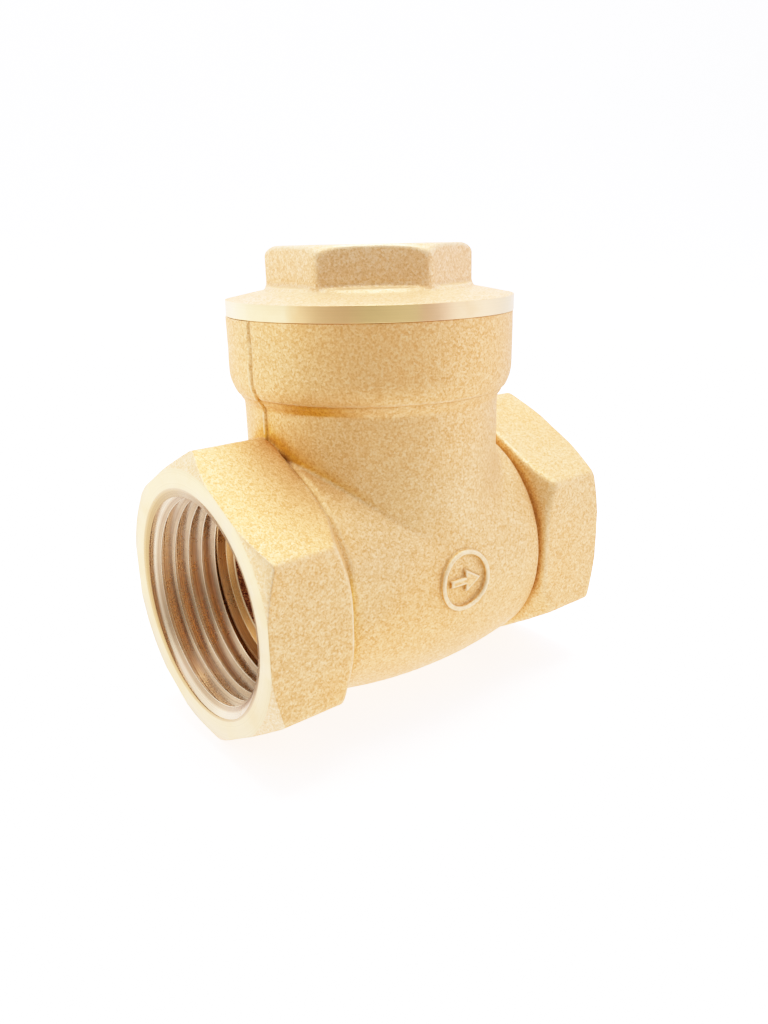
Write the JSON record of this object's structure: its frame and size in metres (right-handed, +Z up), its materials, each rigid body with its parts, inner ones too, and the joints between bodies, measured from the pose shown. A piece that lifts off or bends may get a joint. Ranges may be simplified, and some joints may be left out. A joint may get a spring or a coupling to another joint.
{
  "type": "swing check valve",
  "caption": "Forged brass swing check valve with threaded hexagon ends, a screwed bonnet and a disc that hangs from a hinge pin.",
  "frame": {"origin": "centre of the inlet end face, on the pipe axis", "axes": "+X is the flow direction along the pipe axis, +Z points up along the bonnet axis, +Y is the side with the hinge pin plug"},
  "size_m": [0.0652, 0.0426, 0.0704],
  "materials": {
    "forged_brass": "sand-blasted forging with turned ports",
    "bonnet_brass": "sand-blasted hexagon, turned flange rim",
    "turned_brass": "turned, bright",
    "arm_brass": "forged, tumbled",
    "disc_brass": "turned",
    "stainless": "drawn stainless steel",
    "gasket_ptfe": "white PTFE",
    "seal_rubber": "moulded NBR"
  },
  "bodies": {
    "casing": {"body": "forged_brass", "pin_plug": "turned_brass"},
    "gasket_ring": {"bonnet_gasket": "gasket_ptfe"},
    "cap": {"bonnet": "bonnet_brass"},
    "pivot": {"hinge_pin": "stainless"},
    "arm": {"hinge_arm": "arm_brass"},
    "flapper": {"disc": "disc_brass", "disc_seal": "seal_rubber", "seal_retainer": "turned_brass", "lock_washer": "stainless", "retainer_screw": "stainless", "hanger_washer": "stainless", "hanger_nut": "turned_brass", "split_pin": "stainless"}
  },
  "joints": [
    {"name": "arm_swing", "type": "hinge", "parent": "casing", "child": "arm", "pos_m": [0.0204, 0, 0.018], "axis": [0, -1, 0], "range_deg": [0, 65]},
    {"name": "disc_spin", "type": "hinge", "parent": "arm", "child": "flapper", "pos_m": [0.0326, 0, 0], "axis": [1, 0, 0], "continuous": true},
    {"name": "pin_spin", "type": "hinge", "parent": "casing", "child": "pivot", "pos_m": [0.0204, 0, 0.018], "axis": [0, -1, 0], "continuous": true},
    {"name": "bonnet_lift", "type": "slide", "parent": "casing", "child": "gasket_ring", "axis": [0, 0, 1], "range_m": [0, 0.00902]},
    {"name": "bonnet_turn", "type": "hinge", "parent": "gasket_ring", "child": "cap", "pos_m": [0.0326, 0, 0.04], "axis": [0, 0, 1], "range_deg": [0, 2160]}
  ],
  "couplings": [
    {"joint": "bonnet_lift", "follows": "bonnet_turn", "m_per_rad": 0.00023873}
  ]
}
